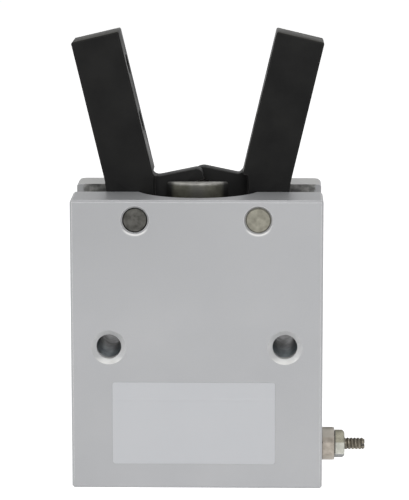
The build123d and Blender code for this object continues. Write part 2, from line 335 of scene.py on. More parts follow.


# %% [markdown]
# The block is extruded aluminium, fine matt and clear-anodised on the outside. The slot for the
# fingers is cut after that, so its walls are raw and blotched with grease. They and the round
# recess are also painted dark as shade, darkest towards the middle. One material does both: a mask
# made from the place on the object is white between the slot's walls and in the round recess, and
# it picks the second set of values. At its outer ends the slot is wiped clean and free of painted
# shade.

# %% Milled walls of the slot
SKIN = 0.03 * MM
TOP_SKIN = 0.02 * MM
GREASE_AND_SHADE_END = 23.9 * MM
CUTTER_MIDDLE = (18.0 * MM, 0.0, 50.5 * MM)
CUTTER_FEED = 1.7 * MM


def cut_mask(tree, axes):
    off_middle = math_node(tree, "ABSOLUTE", axes["Y"])
    in_slot = product(tree, math_node(tree, "LESS_THAN", off_middle, SLOT_HALF + SKIN),
                      math_node(tree, "GREATER_THAN", axes["Z"], SLOT_FLOOR - SKIN))
    reach = vector_length(tree, combine(tree, X=axes["X"], Y=axes["Y"]))
    in_recess = product(tree, math_node(tree, "LESS_THAN", reach, RECESS_R + SKIN),
                        math_node(tree, "GREATER_THAN", axes["Z"], RECESS_FLOOR))
    below_top = math_node(tree, "LESS_THAN", axes["Z"], BLOCK_H - TOP_SKIN)
    return product(tree, math_node(tree, "MAXIMUM", in_slot, in_recess), below_top)


def milled_wall_and_shade(tree, place, axes):
    sideways = math_node(tree, "ABSOLUTE", axes["X"])
    wall = vector_away(tree, combine(tree, X=sideways, Z=axes["Z"]), CUTTER_MIDDLE)
    arcs = use_group(tree, rings_group, wall, Pitch=CUTTER_FEED, Height=0.004 * MM)
    blots = blotches(tree, place, 520.0, 5.0, 0.65)
    marks = math_node(tree, "ADD", product(tree, arcs["Mask"], 0.45), product(tree, blots, 0.55))
    outward = stretch(tree, sideways, 16.0 * MM, 24.0 * MM)
    # Painted shade: the raw wall colours are dark, darkest towards the middle of the slot.
    dark = blend_colours(tree, outward, (0.050, 0.050, 0.050), (0.105, 0.106, 0.104))
    light = blend_colours(tree, outward, (0.210, 0.208, 0.198), (0.360, 0.358, 0.342))
    ragged = math_node(tree, "ADD", sideways, product(tree, blots, 0.8 * MM))
    grease_and_shade = stretch(tree, ragged, GREASE_AND_SHADE_END, GREASE_AND_SHADE_END + 0.4 * MM, 1.0, 0.15)
    return blend_colours(tree, marks, dark, light), grease_and_shade


# %% [markdown]
# The holes of the two pins are broken with a small cutter, and the lower half of that edge faces
# the light. That light is painted on as a bright crescent below each pin: a thin ring, kept only
# under the axis. The rest of the coat carries painted shade at the upper left and painted light on
# the top of the rear wall, and it is rubbed to the metal on its edges, though not at the foot or
# round the side holes.

# %% Anodised coat
COAT = ((0.445, 0.450, 0.462), (0.470, 0.474, 0.484))
PAINTED_SHADE_UPPER_LEFT = (0.418, 0.422, 0.432)
EDGE_METAL = (0.74, 0.74, 0.75)
PAINTED_LIGHT_REAR_TOP = (0.535, 0.535, 0.525)
PAINTED_PIN_HIGHLIGHT = (0.80, 0.795, 0.785)
CRESCENT_W = 0.45 * MM


def from_axis(tree, axes, across, height):
    sideways = math_node(tree, "SUBTRACT", math_node(tree, "ABSOLUTE", axes["X"]), across)
    above = math_node(tree, "SUBTRACT", axes["Z"], height)
    return vector_length(tree, combine(tree, X=sideways, Z=above))


# Painted highlight: a thin ring under each pin hole, lighter where the cut edge faces the light.
def pin_highlight_mask(tree, axes):
    outer = PIN_R + CRESCENT_W
    ring = stretch(tree, from_axis(tree, axes, PIVOT.x, PIVOT.z), outer, outer + 0.3 * MM, 1.0, 0.0)
    under = stretch(tree, axes["Z"], PIVOT.z - 1.6 * MM, PIVOT.z - PIN_R)
    front = math_node(tree, "LESS_THAN", axes["Y"], FRONT_Y + 0.1 * MM)
    return product(tree, ring, under, front)


def coat_colour(tree, place, axes):
    coat = blend_colours(tree, blotches(tree, place, 60.0, 3.0, spread=0.2), *COAT)
    # Painted shade: the coat is painted darker towards the upper left, where less light falls.
    high = stretch(tree, axes["Z"], 34.0 * MM, 52.0 * MM)
    leftward = stretch(tree, axes["X"], 25.0 * MM, -22.0 * MM, 0.15, 1.0)
    coat = blend_colours(tree, product(tree, high, leftward), coat, PAINTED_SHADE_UPPER_LEFT)
    worn = use_group(tree, worn_group, place, Radius=0.3 * MM, Patchiness=0.5)
    off_foot = stretch(tree, axes["Z"], 1.0 * MM, 3.0 * MM, 0.0, 1.8)
    off_hole = stretch(tree, from_axis(tree, axes, HOLE_X, HOLE_Z), 3.8 * MM, 4.6 * MM, 0.15, 1.0)
    coat = blend_colours(tree, product(tree, worn["Mask"], off_foot, off_hole), coat, EDGE_METAL)
    # Painted light: the top face of the rear wall is painted lighter, as light falls on it.
    rear_top_painted_light = product(tree, math_node(tree, "GREATER_THAN", axes["Y"], SLOT_HALF),
                       math_node(tree, "GREATER_THAN", axes["Z"], BLOCK_H - TOP_SKIN))
    coat = blend_colours(tree, rear_top_painted_light, coat, PAINTED_LIGHT_REAR_TOP)
    return blend_colours(tree, pin_highlight_mask(tree, axes), coat, PAINTED_PIN_HIGHLIGHT)


def anodised_block():
    material, tree, shader, place = new_finish("anodised_block", 0.45, 0.35)
    axes = split(tree, place)
    raw_and_shaded, grease_and_shade = milled_wall_and_shade(tree, place, axes)
    # Grease and painted shade: the slot walls and the recess take the dark raw colours.
    milled_and_shaded = product(tree, cut_mask(tree, axes), grease_and_shade)
    join(tree, blend_colours(tree, milled_and_shaded, coat_colour(tree, place, axes), raw_and_shaded), shader["Base Color"])
    add_grain(tree, shader, place, 3200.0, 0.012 * MM, (0.42, 0.52))
    return material


finishes = {"body": anodised_block()}
print("block:", len(finishes["body"].node_tree.nodes), "nodes")

# %% [markdown]
# The fingers are steel with a black oxide finish: almost no colour, a satin gloss, and bare metal
# where handling rubs the edges. Low specular keeps the white surroundings from greying them. The
# ends on top carry painted light, a little lighter and warmer, as light falls on them. Its mask is
# the height along the finger, turned by the angle at which the fingers stand.

# %% Black oxide steel
TOP_LIGHT_FROM = 35.85 * MM
TOP_LIGHT_FULL = 35.92 * MM


def black_oxide():
    material, tree, shader, place = new_finish("black_oxide_steel", 0.0, 0.06)
    axes = split(tree, place)
    cloud = blotches(tree, place, 150.0, 4.0, spread=0.15)
    oxide = blend_colours(tree, cloud, (0.0135, 0.0135, 0.0135), (0.020, 0.020, 0.0195))
    worn = use_group(tree, worn_group, place, Radius=0.25 * MM, Patchiness=0.6)
    oxide = blend_colours(tree, product(tree, worn["Mask"], 0.45), oxide, (0.16, 0.155, 0.15))
    across = math_node(tree, "SUBTRACT", math_node(tree, "ABSOLUTE", axes["X"]), PIVOT.x)
    above = math_node(tree, "SUBTRACT", axes["Z"], PIVOT.z)
    up_finger = math_node(tree, "ADD", product(tree, across, math.sin(REST_ANGLE)),
                          product(tree, above, math.cos(REST_ANGLE)))
    # Painted light: the top ends of the fingers are painted lighter and warmer.
    painted_top_light = blend_colours(tree, cloud, (0.030, 0.0295, 0.026), (0.046, 0.045, 0.040))
    oxide = blend_colours(tree, stretch(tree, up_finger, TOP_LIGHT_FROM, TOP_LIGHT_FULL), oxide, painted_top_light)
    join(tree, oxide, shader["Base Color"])
    add_grain(tree, shader, place, 2600.0, 0.01 * MM, (0.40, 0.55), cloud)
    return material


finishes["left_finger"] = black_oxide()
finishes["right_finger"] = finishes["left_finger"]
print("fingers:", finishes["left_finger"].name)

# %% [markdown]
# Turned and ground pieces share one recipe with their own values: a metal colour with slow
# clouding, lathe rings or plain grain for the normal, and darker patches where oil has dried.
# Moulded rubber is simpler still, a near black that barely changes.

# %% Bare metal and rubber
def bare_metal(name, light, dark, roughness, centre=None, pitch=0.25 * MM, patch=300.0):
    material, tree, shader, place = new_finish(name, 1.0, 0.5)
    cloud = blotches(tree, place, patch, 4.0)
    join(tree, blend_colours(tree, cloud, dark, light), shader["Base Color"])
    span = (roughness + 0.08, roughness - 0.04)
    if centre is None:
        add_grain(tree, shader, place, 2400.0, 0.004 * MM, span, cloud)
    else:
        away = vector_away(tree, place, centre)
        rings = use_group(tree, rings_group, away, Pitch=pitch, Height=0.004 * MM)
        end_finish(tree, shader, rings, cloud, span)
    return material


def moulded_rubber():
    material, tree, shader, place = new_finish("moulded_rubber", 0.0, 0.4)
    cloud = noise(tree, place, 500.0, 3.0)
    join(tree, blend_colours(tree, cloud, (0.016, 0.016, 0.016), (0.028, 0.028, 0.028)), shader["Base Color"])
    add_grain(tree, shader, place, 3500.0, 0.01 * MM, (0.50, 0.65))
    return material


steel = bare_metal("ground_steel", (0.50, 0.49, 0.46), (0.34, 0.33, 0.31), 0.30)
turned = bare_metal("turned_aluminium", (0.62, 0.62, 0.63), (0.50, 0.50, 0.51), 0.32, (0.0, 0.0, 0.0))
rubber = moulded_rubber()
for name in ("drive_pin", "front_roller", "centre_roller", "rear_roller"):
    finishes[name] = steel
for name in ("piston", "end_cap"):
    finishes[name] = turned
for name in ("piston_seal", "rod_seal", "end_cap_o_ring", "throttle_o_ring"):
    finishes[name] = rubber
finishes["piston_rod"] = bare_metal("hard_chrome", (0.62, 0.62, 0.63), (0.55, 0.55, 0.56), 0.12)
finishes["end_cap_clip"] = bare_metal("phosphated_spring", (0.055, 0.055, 0.056), (0.035, 0.035, 0.036), 0.48)
finishes["throttle_needle"] = bare_metal("dark_stud", (0.27, 0.245, 0.20), (0.15, 0.135, 0.11), 0.52,
                                         patch=1200.0)
# Painted light and shade: both pins are one steel, but the left face is painted darker and the right lighter.
finishes["left_pivot_pin"] = bare_metal("left_pin_shaded_face", (0.105, 0.103, 0.095), (0.055, 0.054, 0.049), 0.42,
                                        (-PIVOT.x, FRONT_Y, PIVOT.z), 0.35 * MM, 900.0)
finishes["right_pivot_pin"] = bare_metal("right_pin_lit_face", (0.270, 0.262, 0.218), (0.185, 0.178, 0.147), 0.40,
                                         (PIVOT.x, FRONT_Y, PIVOT.z), 0.35 * MM, 900.0)
print("finishes so far:", len(finishes))

# %% [markdown]
# The throttle's two hexagons are plated and have been turned with a spanner more than once. Painted
# shade darkens the joints at both ends of each, as dark lines, and the top and bottom rims, and the
# flats are painted in tones of light and shade, so the tone changes from the upper to the lower ones.

# %% Plated hexagons
PAINTED_SHADE_DARK = (0.055, 0.054, 0.050)
FACET_SHADE_SHARE = 0.85


def plated_hexagon(name, light, dark, roughness, ends, upper_facet_shade, lower_facet_shade, rim):
    material, tree, shader, place = new_finish(name, 1.0, 0.5)
    axes = split(tree, place)
    cloud = blotches(tree, place, 800.0, 4.0)
    height = math_node(tree, "SUBTRACT", axes["Z"], THROTTLE.z)
    upper_edge, upper_facet_painted_tone = upper_facet_shade
    lower_facet_painted_tone, lower_metallic = lower_facet_shade
    # Painted light and shade: the upper and lower flats get their own painted tones.
    above = stretch(tree, height, upper_edge, upper_edge + 0.2 * MM, 0.0, FACET_SHADE_SHARE)
    below = stretch(tree, height, -1.9 * MM, -1.6 * MM, FACET_SHADE_SHARE, 0.0)
    metal = blend_colours(tree, cloud, dark, light)
    metal = blend_colours(tree, above, metal, upper_facet_painted_tone)
    metal = blend_colours(tree, below, metal, lower_facet_painted_tone)
    join(tree, stretch(tree, below, 0.0, FACET_SHADE_SHARE, 1.0, lower_metallic), shader["Metallic"])
    # Painted shade: dark lines at the joints at both ends, and at the top and bottom rims.
    low_joint = stretch(tree, axes["X"], ends[0], ends[0] + 0.36 * MM, 1.0, 0.0)
    high_joint = stretch(tree, axes["X"], ends[1] - 0.12 * MM, ends[1], 0.0, 0.6)
    rim_painted_shade = stretch(tree, math_node(tree, "ABSOLUTE", height), rim, rim + 0.55 * MM, 0.0, 0.55)
    joint_and_rim_painted_shade = math_node(tree, "MAXIMUM", math_node(tree, "MAXIMUM", low_joint, high_joint), rim_painted_shade)
    join(tree, blend_colours(tree, joint_and_rim_painted_shade, metal, PAINTED_SHADE_DARK), shader["Base Color"])
    add_grain(tree, shader, place, 2400.0, 0.005 * MM, (roughness + 0.08, roughness - 0.04), cloud)
    return material


finishes["throttle_gland"] = plated_hexagon(
    "nickel_brass", (0.43, 0.385, 0.335), (0.29, 0.262, 0.225), 0.34, (25.0 * MM, 27.6 * MM),
    upper_facet_shade=(1.85 * MM, (0.40, 0.375, 0.335)), lower_facet_shade=((0.37, 0.34, 0.30), 1.0), rim=3.1 * MM)
finishes["throttle_lock_nut"] = plated_hexagon(
    "zinc_nut", (0.49, 0.49, 0.44), (0.38, 0.38, 0.34), 0.26, (27.68 * MM, 29.68 * MM),
    upper_facet_shade=(0.7 * MM, (0.240, 0.226, 0.172)), lower_facet_shade=((0.105, 0.112, 0.116), 0.2), rim=2.35 * MM)
print("hexagons:", finishes["throttle_gland"].name, "and", finishes["throttle_lock_nut"].name)

# %% [markdown]
# The drive fork came from the furnace with an olive tint, and its top is rubbed bare by the arms.
# The tint is a dark metal that mirrors the room. The bare top scatters light instead and is painted
# bright as a highlight, so it stays bright although the black arms stand over it, and it ends in a
# rubbed, uneven line. Both are painted darker as shade towards the fork's sides, and the middle of
# the front carries a greyer painted reflection.

# %% Tempered fork
FORK_HEAD = 60.467 * MM
FORK_CHAMFER = 0.25 * MM


def tempered_fork():
    material, tree, shader, place = new_finish("tempered_fork", 1.0, 0.5)
    axes = split(tree, place)
    blots = blotches(tree, place, 700.0, 4.0, 0.6, spread=0.15)
    height = math_node(tree, "ADD", axes["Z"], product(tree, blots, 0.10 * MM))
    # Painted highlight: the bare top is painted bright so that it stays light under the arms.
    bare_lit_top = stretch(tree, height, FORK_HEAD - 2.0 * FORK_CHAMFER, FORK_HEAD)
    sideways = math_node(tree, "ABSOLUTE", axes["X"])
    # Painted shade towards the sides, and a greyer painted reflection down the middle of the front.
    side_painted_shade = stretch(tree, sideways, 4.5 * MM, 5.35 * MM)
    middle_painted_reflection = stretch(tree, sideways, 0.6 * MM, 2.2 * MM, 0.6, 0.0)
    tint = blend_colours(tree, blots, (0.082, 0.081, 0.063), (0.128, 0.126, 0.100))
    tint = blend_colours(tree, middle_painted_reflection, tint, (0.125, 0.124, 0.116))
    tint = blend_colours(tree, side_painted_shade, tint, (0.014, 0.014, 0.013))
    rubbed_top_highlight = blend_colours(tree, blots, (0.31, 0.305, 0.285), (0.50, 0.495, 0.46))
    rubbed_top_highlight = blend_colours(tree, side_painted_shade, rubbed_top_highlight, (0.085, 0.084, 0.080))
    join(tree, blend_colours(tree, bare_lit_top, tint, rubbed_top_highlight), shader["Base Color"])
    join(tree, stretch(tree, bare_lit_top, 0.0, 1.0, 0.45, 0.25), shader["Metallic"])
    join(tree, stretch(tree, bare_lit_top, 0.0, 1.0, 0.30, 0.50), shader["Roughness"])
    rings = use_group(tree, rings_group, place, Pitch=0.5 * MM, Height=0.004 * MM)
    join(tree, rings["Normal"], shader["Normal"])
    return material


finishes["rod_fork"] = tempered_fork()
print("fork:", finishes["rod_fork"].name)

# %% [markdown]
# Now every CAD node gets its finish. The nodes' meshes stay as they are, so only the material in
# each is swapped, and the pieces that are modelled below take over the same finishes.

# %% Finishes on the CAD nodes
for name, material in finishes.items():
    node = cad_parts[name]
    node.data.materials.clear()
    node.data.materials.append(material)
print("finishes on", len(finishes), "nodes")

# %% [markdown]
# Every added piece starts as a selected primitive or a copied node, so a few small helpers clear
# the selection, name the new shape, and put its place and size into its mesh.

# %% Helpers for modelling by hand
MERGE = 0.002 * MM
SMOOTH_ANGLE = math.radians(30)


def deselect_all():
    bpy.ops.object.select_all(action="DESELECT")


def choose(shape):
    deselect_all()
    shape.select_set(True)
    bpy.context.view_layer.objects.active = shape


def start_shape(name):
    shape = bpy.context.active_object
    shape.name = name
    shape.data.name = name
    choose(shape)
    return shape


def settle(shape):
    choose(shape)
    bpy.ops.object.transform_apply(location=True, rotation=True, scale=True)


def finish_modifier(shape, modifier):
    choose(shape)
    bpy.ops.object.modifier_apply(modifier=modifier.name)


# %% [markdown]
# The fingers are machined from bar and blackened, and their edges are tumbled soft, which is what
# catches the light along them. A copy of the CAD finger has its doubles merged and its flat faces
# joined again. The points round the end of the arm and along the inner face are then drawn to the
# shape in the photograph, and a narrow bevel rounds every sharp edge.

# %% Finger lengths
ARM_REACH = 14.6 * MM
ARM_ROOT_HALF_H = 5.8 * MM
ARM_TIP_HALF_H = 5.4 * MM
ARM_SLOT_HALF_H = 3.15 * MM
ARM_START = 3.5 * MM
ARM_TOP = (4.2 * MM, 8.0 * MM)
CAD_CORNER_R = 3.0 * MM
CORNER_SLACK = 0.02 * MM
INNER_FACE = (2.9 * MM, 6.8 * MM)
INNER_FOOT = -4.0 * MM
INNER_TRIM = 0.2 * MM
OUTER_FACE = -4.4 * MM
OUTER_FOOT = 7.0 * MM
OUTER_TRIM = 0.08 * MM
FILLET_START = 5.0 * MM
FILLET_R = 1.1 * MM
SOFT_EDGE = 0.12 * MM


def to_finger(point, side):
    across = PIVOT.x - side * point.x
    above = point.z - PIVOT.z
    along = across * math.cos(REST_ANGLE) + above * math.sin(REST_ANGLE)
    up_finger = above * math.cos(REST_ANGLE) - across * math.sin(REST_ANGLE)
    return along, up_finger


def from_finger(along, up_finger, side):
    across = along * math.cos(REST_ANGLE) - up_finger * math.sin(REST_ANGLE)
    above = along * math.sin(REST_ANGLE) + up_finger * math.cos(REST_ANGLE)
    return side * (PIVOT.x - across), PIVOT.z + above


print("arm reaches", round(ARM_REACH / MM, 2), "mm from the pivot")

# %% [markdown]
# Four small moves draw the points. The corner at the arm's end shrinks towards its own tangents,
# the inner face goes in a little while its fillet keeps or widens its foot, the arm's top rises,
# and the outer face goes in by less than a tenth of a millimetre.

# %% Points drawn to the photograph
def corner_centre(radius):
    along = ARM_REACH - radius
    slope = (ARM_ROOT_HALF_H - ARM_TIP_HALF_H) / ARM_REACH
    return along, ARM_ROOT_HALF_H - slope * along - radius * math.hypot(1.0, slope)


def drawn_place(along, up_finger, corner_r, lift, fillet_toe):
    old_along, old_up = corner_centre(CAD_CORNER_R)
    reach = math.hypot(along - old_along, up_finger - old_up)
    on_corner = abs(reach - CAD_CORNER_R) < CORNER_SLACK and along > old_along - 0.1 * MM
    if on_corner and up_finger > ARM_SLOT_HALF_H:
        new_along, new_up = corner_centre(corner_r)
        along = new_along + (along - old_along) * corner_r / CAD_CORNER_R
        up_finger = new_up + (up_finger - old_up) * corner_r / CAD_CORNER_R
    if INNER_FACE[0] < along < INNER_FACE[1] and up_finger > INNER_FOOT:
        toe = min(max((along - FILLET_START) / FILLET_R, 0.0), 1.0)
        along += fillet_toe * toe - INNER_TRIM * (1.0 - toe)
    if along > ARM_START and ARM_TOP[0] < up_finger < ARM_TOP[1]:
        up_finger += lift
    if along < OUTER_FACE and up_finger > OUTER_FOOT:
        along += OUTER_TRIM
    return along, up_finger


def make_finger(name, body, side, corner_r, lift, fillet_toe):
    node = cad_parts[name]
    finger = bpy.data.objects.new(name + "_machined", node.data.copy())
    bpy.context.scene.collection.objects.link(finger)
    choose(finger)
    bpy.ops.object.mode_set(mode="EDIT")
    bpy.ops.mesh.select_all(action="SELECT")
    bpy.ops.mesh.remove_doubles(threshold=MERGE)
    bpy.ops.mesh.select_all(action="SELECT")
    bpy.ops.mesh.dissolve_limited(angle_limit=math.radians(0.5))
    bpy.ops.object.mode_set(mode="OBJECT")
    for point in finger.data.vertices:
        along, up_finger = to_finger(point.co, side)
        along, up_finger = drawn_place(along, up_finger, corner_r, lift, fillet_toe)
        point.co.x, point.co.z = from_finger(along, up_finger, side)
    soft = finger.modifiers.new("soft_edges", "BEVEL")
    soft.width = SOFT_EDGE
    soft.segments = 2
    soft.limit_method = "ANGLE"
    soft.angle_limit = math.radians(35)
    finish_modifier(finger, soft)
    bpy.ops.object.shade_smooth_by_angle(angle=SMOOTH_ANGLE)
    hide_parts(name)
    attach(finger, body)
    return finger


left_finger = make_finger("left_finger", "left_jaw", -1, 1.4 * MM, 0.12 * MM, 0.2 * MM)
right_finger = make_finger("right_finger", "right_jaw", 1, 2.5 * MM, 0.06 * MM, -0.2 * MM)
for finger in (left_finger, right_finger):
    print(finger.name, len(finger.data.polygons), "faces")

# %% [markdown]
# The label is a sheet of satin vinyl, left bare here, with a faint crease across it where it was
# pressed on. A plane is cut to size, its corners are rounded, and a pull outwards gives it its
# thickness. Three cuts run across it, and the middle one is raised a little to make the crease.

# %% Label sheet
LABEL_LEFT = -16.8 * MM
LABEL_RIGHT = 15.56 * MM
LABEL_FOOT = 5.05 * MM
LABEL_TOP = 21.7 * MM
LABEL_T = 0.08 * MM
LABEL_SINK = 0.01 * MM
LABEL_CORNER = 0.5 * MM
CREASE_Z = 18.2 * MM
CREASE_RISE = 0.03 * MM


def make_label():
    deselect_all()
    middle = ((LABEL_LEFT + LABEL_RIGHT) / 2, FRONT_Y - LABEL_SINK, (LABEL_FOOT + LABEL_TOP) / 2)
    bpy.ops.mesh.primitive_plane_add(size=1.0, location=middle, rotation=(math.pi / 2, 0.0, 0.0))
    label = start_shape("label")
    label.scale = (LABEL_RIGHT - LABEL_LEFT, LABEL_TOP - LABEL_FOOT, 1.0)
    settle(label)
    bpy.ops.object.mode_set(mode="EDIT")
    bpy.ops.mesh.select_all(action="SELECT")
    bpy.ops.mesh.bevel(offset=LABEL_CORNER, segments=4, affect="VERTICES")
    for height in (CREASE_Z - 0.5 * MM, CREASE_Z, CREASE_Z + 0.4 * MM):
        bpy.ops.mesh.select_all(action="SELECT")
        bpy.ops.mesh.bisect(plane_co=(0.0, FRONT_Y, height), plane_no=(0.0, 0.0, 1.0))
    bpy.ops.mesh.select_all(action="SELECT")
    bpy.ops.mesh.extrude_region_move(TRANSFORM_OT_translate={"value": (0.0, -LABEL_T, 0.0)})
    bpy.ops.mesh.select_all(action="SELECT")
    bpy.ops.mesh.normals_make_consistent(inside=False)
    bpy.ops.object.mode_set(mode="OBJECT")
    for point in label.data.vertices:
        outer = point.co.y < FRONT_Y - LABEL_T / 2
        if outer and abs(point.co.z - CREASE_Z) < 0.05 * MM:
            point.co.y -= CREASE_RISE
    return label


def label_vinyl():
    material, tree, shader, place = new_finish("label_vinyl", 0.0, 0.4)
    cloud = noise(tree, place, 120.0, 3.0)
    join(tree, blend_colours(tree, cloud, (0.650, 0.662, 0.688), (0.676, 0.685, 0.706)), shader["Base Color"])
    add_grain(tree, shader, place, 1500.0, 0.004 * MM, (0.34, 0.42))
    return material


label = make_label()
label.data.materials.append(label_vinyl())
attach(label, "gripper_body")
print("label:", len(label.data.polygons), "faces")

# %% [markdown]
# Round pieces are turned on a lathe, and Spin is Blender's lathe. Their outline is drawn first:
# one point, pulled out from place to place, leaves an edge behind it at each pull.

# %% Outlines and turned shapes
def draw_outline(name, points):
    deselect_all()
    bpy.ops.mesh.primitive_plane_add(size=MM)
    shape = start_shape(name)
    bpy.ops.object.mode_set(mode="EDIT")
    bpy.ops.mesh.select_all(action="SELECT")
    bpy.ops.mesh.merge(type="CENTER")
    bpy.ops.transform.translate(value=points[0])
    for start, end in zip(points, points[1:]):
        bpy.ops.mesh.extrude_region_move(TRANSFORM_OT_translate={"value": Vector(end) - Vector(start)})
    bpy.ops.object.mode_set(mode="OBJECT")
    return shape


def spin_outline(shape, axis, steps):
    bpy.ops.object.mode_set(mode="EDIT")
    bpy.ops.mesh.select_all(action="SELECT")
    bpy.ops.mesh.spin(steps=steps, angle=2 * math.pi, center=(0.0, 0.0, 0.0), axis=axis)
    bpy.ops.mesh.select_all(action="SELECT")
    bpy.ops.mesh.remove_doubles(threshold=MERGE)
    bpy.ops.mesh.normals_make_consistent(inside=False)
    bpy.ops.object.mode_set(mode="OBJECT")
    bpy.ops.object.shade_smooth_by_angle(angle=SMOOTH_ANGLE)


# %% [markdown]
# A screw thread is one V-shaped tooth swept round and along an axis, which is what the Screw
# modifier does. The swept skin is then cut square at both ends. Closed, it is a threaded stud.
# Left open and turned inside out, it is the thread that lines a tapped hole.

# %% Thread helpers
THREAD_STEPS = 40
FLANK = 0.40
CUT_SNAP = 0.0001 * MM


def sweep_thread(name, crest_r, root_r, pitch, length):
    tooth = ((0.0, root_r), (FLANK * pitch, crest_r), ((1 - FLANK) * pitch, crest_r), (pitch, root_r))
    thread = draw_outline(name, [(along, 0.0, radius) for along, radius in tooth])
    screw = thread.modifiers.new("screw", "SCREW")
    screw.axis = "X"
    screw.screw_offset = pitch
    screw.iterations = math.ceil(length / pitch) + 3
    screw.steps = THREAD_STEPS
    screw.render_steps = THREAD_STEPS
    screw.use_smooth_shade = False
    finish_modifier(thread, screw)
    bpy.ops.object.mode_set(mode="EDIT")
    bpy.ops.mesh.select_all(action="SELECT")
    bpy.ops.mesh.remove_doubles(threshold=MERGE)
    bpy.ops.mesh.select_all(action="SELECT")
    bpy.ops.transform.translate(value=(-1.5 * pitch, 0.0, 0.0))
    bpy.ops.object.mode_set(mode="OBJECT")
    return thread


def trim_thread(thread, length, closed):
    bpy.ops.object.mode_set(mode="EDIT")
    for place, low_end in ((0.0, True), (length, False)):
        bpy.ops.mesh.select_all(action="SELECT")
        bpy.ops.mesh.bisect(plane_co=(place, 0.0, 0.0), plane_no=(1.0, 0.0, 0.0), use_fill=closed,
                            clear_inner=low_end, clear_outer=not low_end, threshold=CUT_SNAP)
    bpy.ops.mesh.select_all(action="SELECT")
    bpy.ops.mesh.normals_make_consistent(inside=not closed)
    bpy.ops.object.mode_set(mode="OBJECT")
    bpy.ops.object.shade_smooth_by_angle(angle=SMOOTH_ANGLE)


# %% [markdown]
# The needle screw is the one threaded piece that the photograph shows. Its outer end is a dark
# stud with a turned-down tip and a slot for a screwdriver. Inside the gland it has a collar for
# the ring and a fine point, so that part is turned in one go: an outline spun about the axis.

# %% Needle screw
NEEDLE_R = 1.2 * MM
NEEDLE_ROOT_R = 0.99 * MM
NEEDLE_PITCH = 0.7 * MM
NEEDLE_END = 33.78 * MM
THREAD_START = 21.3 * MM
TIP_CHAMFER = 0.35 * MM
DRIVER_SLOT_W = 0.5 * MM
DRIVER_SLOT_DEPTH = 0.8 * MM
SHANK = ((13.2, 0.0), (13.2, 0.2), (15.5, 0.85), (15.5, 1.15), (18.3, 1.15), (18.3, 1.7), (18.62, 1.7),
         (18.62, 0.9), (19.58, 0.9), (19.58, 1.7), (19.9, 1.7), (19.9, 0.93), (21.4, 0.93), (21.4, 0.0))


def turn_down_tip(thread, length):
    for point in thread.data.vertices:
        radius = math.hypot(point.co.y, point.co.z)
        room = NEEDLE_R - TIP_CHAMFER + (length - point.co.x)
        if radius > room:
            point.co.y *= room / radius
            point.co.z *= room / radius


def cut_driver_slot(thread, length):
    deselect_all()
    bpy.ops.mesh.primitive_cube_add(size=1.0, location=(length, 0.0, 0.0))
    cutter = start_shape("driver_slot")
    cutter.scale = (2 * DRIVER_SLOT_DEPTH, 3 * NEEDLE_R, DRIVER_SLOT_W)
    settle(cutter)
    cut = thread.modifiers.new("driver_slot", "BOOLEAN")
    cut.object = cutter
    finish_modifier(thread, cut)
    bpy.data.objects.remove(cutter)


def make_stud_thread():
    length = NEEDLE_END - THREAD_START
    thread = sweep_thread("needle_thread", NEEDLE_R, NEEDLE_ROOT_R, NEEDLE_PITCH, length)
    trim_thread(thread, length, closed=True)
    turn_down_tip(thread, length)
    cut_driver_slot(thread, length)
    thread.location = (THREAD_START, THROTTLE.y, THROTTLE.z)
    settle(thread)
    return thread


def make_needle_screw():
    thread = make_stud_thread()
    shank = draw_outline("needle_shank", [(along * MM, 0.0, radius * MM) for along, radius in SHANK])
    spin_outline(shank, (1.0, 0.0, 0.0), THREAD_STEPS)
    shank.location = (0.0, THROTTLE.y, THROTTLE.z)
    settle(shank)
    thread.select_set(True)
    bpy.context.view_layer.objects.active = thread
    bpy.ops.object.join()
    return start_shape("needle_screw")


needle_screw = make_needle_screw()
needle_screw.data.materials.clear()
needle_screw.data.materials.append(finishes["throttle_needle"])
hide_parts("throttle_needle")
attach(needle_screw, "needle")
print("needle screw:", len(needle_screw.data.polygons), "faces")

# %% [markdown]
# The side holes are countersunk on the front. A countersink cutter leaves a clean bright cone, and
# the lower part of it faces the light, which is also painted on as a lighter colour. Behind it the
# tapped hole is painted bright and bluish near its mouth and dark further in, as light and shade.

# %% Metal of the side holes
def countersink_metal():
    material, tree, shader, place = new_finish("countersink_metal", 0.35, 0.5)
    blots = blotches(tree, place, 400.0, 4.0)
    metal = blend_colours(tree, blots, (0.53, 0.535, 0.54), (0.60, 0.60, 0.605))
    # Painted highlight: the lower part of the countersink is painted lighter, as light falls on it.
    low = stretch(tree, split(tree, place)["Z"], HOLE_Z - 1.9 * MM, HOLE_Z - 2.9 * MM)
    join(tree, blend_colours(tree, low, metal, (0.80, 0.80, 0.785)), shader["Base Color"])
    add_grain(tree, shader, place, 2400.0, 0.004 * MM, (0.46, 0.34), blots)
    return material


def tapped_metal():
    material, tree, shader, place = new_finish("tapped_metal", 1.0, 0.5)
    # Painted light and shade: bright, bluish highlight near the mouth, and dark further into the hole.
    lit_near_mouth = stretch(tree, split(tree, place)["Y"], -3.0 * MM, -11.0 * MM)
    blots = blotches(tree, place, 450.0, 4.0, 0.6)
    deep_painted_shade = blend_colours(tree, blots, (0.060, 0.060, 0.062), (0.120, 0.120, 0.124))
    mouth_painted_highlight = blend_colours(tree, blots, (0.44, 0.50, 0.56), (0.85, 0.96, 1.00))
    join(tree, blend_colours(tree, lit_near_mouth, deep_painted_shade, mouth_painted_highlight), shader["Base Color"])
    add_grain(tree, shader, place, 1800.0, 0.01 * MM, (0.42, 0.28), blots)
    return material


mouth_metal = countersink_metal()
hole_metal = tapped_metal()
print("side holes:", mouth_metal.name, "and", hole_metal.name)

# %% [markdown]
# The countersink is flatter than the drilled mouth behind it, so each mouth is a turned ring that
# fills the drilled one. The ring's outline ends at the point where it starts, which closes it.

